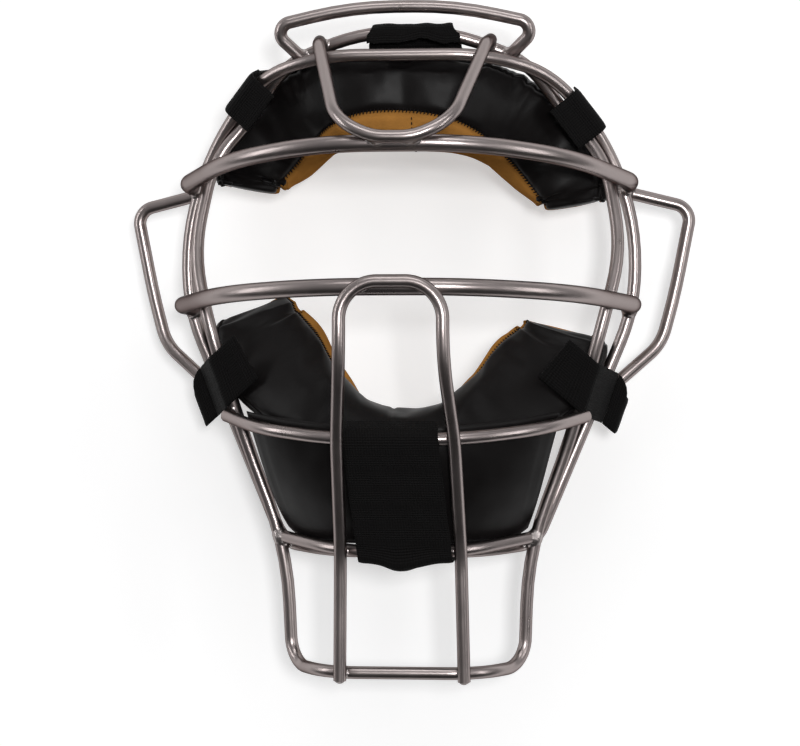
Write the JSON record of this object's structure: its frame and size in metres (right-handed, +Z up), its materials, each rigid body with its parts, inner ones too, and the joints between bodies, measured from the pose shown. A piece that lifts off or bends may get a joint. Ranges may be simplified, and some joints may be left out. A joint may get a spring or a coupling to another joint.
{
  "type": "umpire mask",
  "caption": "Welded bent-tube face mask for a baseball or softball umpire, with padded forehead and chin rolls held on by webbing straps.",
  "frame": {"origin": "midway between the outer ring's two sides, in the plane in which they lie, at the height where the wearer's cheekbones come", "axes": "-Y forward, the way the wearer looks; +Z up; +X to the right as seen from the front; the front of the mask faces -Y"},
  "size_m": [0.2724, 0.1359, 0.3199],
  "materials": {
    "powder_coated_steel": "satin gunmetal powder coat on steel tube",
    "black_vinyl": "satin black vinyl with a fine grain",
    "tan_leather": "soft tan leather",
    "webbing": "black woven webbing",
    "foam": "matte closed-cell foam"
  },
  "bodies": {
    "cage": {"outer_ring": "powder_coated_steel", "inner_ring": "powder_coated_steel", "brow_bar": "powder_coated_steel", "nose_bar": "powder_coated_steel", "chin_bar": "powder_coated_steel", "throat_bar": "powder_coated_steel", "centre_hoop": "powder_coated_steel", "brow_hoop": "powder_coated_steel", "crown_guard": "powder_coated_steel", "ear_guard_left": "powder_coated_steel", "ear_guard_right": "powder_coated_steel", "weld_beads": "powder_coated_steel", "forehead_foam": "foam", "forehead_cover": "black_vinyl", "forehead_face": "tan_leather", "chin_foam": "foam", "chin_cover": "black_vinyl", "chin_face": "tan_leather", "chin_flap": "black_vinyl", "top_strap": "webbing", "forehead_strap_left": "webbing", "forehead_strap_right": "webbing", "chin_strap_left": "webbing", "chin_strap_right": "webbing", "bottom_strap": "webbing"},
    "top_tab": {"top_tab": "webbing"},
    "forehead_tab_left": {"forehead_tab_left": "webbing"},
    "forehead_tab_right": {"forehead_tab_right": "webbing"},
    "chin_tab_left": {"chin_tab_left": "webbing"},
    "chin_tab_right": {"chin_tab_right": "webbing"},
    "bottom_tab": {"bottom_tab": "webbing"}
  },
  "joints": [
    {"name": "top_tab_fold", "type": "hinge", "parent": "cage", "child": "top_tab", "pos_m": [0.0044, -0.0182, 0.1541], "axis": [1, 0, 0], "range_deg": [0, 85]},
    {"name": "forehead_tab_left_fold", "type": "hinge", "parent": "cage", "child": "forehead_tab_left", "pos_m": [-0.08117, -0.01034, 0.13369], "axis": [0.5879, -0.3457, 0.7313], "range_deg": [0, 90]},
    {"name": "forehead_tab_right_fold", "type": "hinge", "parent": "cage", "child": "forehead_tab_right", "pos_m": [0.08626, -0.00673, 0.12719], "axis": [0.5896, 0.2785, -0.7582], "range_deg": [0, 90]},
    {"name": "chin_tab_left_fold", "type": "hinge", "parent": "cage", "child": "chin_tab_left", "pos_m": [-0.0983, -0.00264, -0.00635], "axis": [-0.3281, -0.103, 0.939], "range_deg": [0, 70]},
    {"name": "chin_tab_right_fold", "type": "hinge", "parent": "cage", "child": "chin_tab_right", "pos_m": [0.0983, -0.00264, -0.00635], "axis": [-0.3281, 0.103, -0.939], "range_deg": [0, 70]},
    {"name": "bottom_tab_fold", "type": "hinge", "parent": "cage", "child": "bottom_tab", "pos_m": [-0.0014, -0.01875, -0.0803], "axis": [-1, 0, 0], "range_deg": [0, 90]}
  ]
}
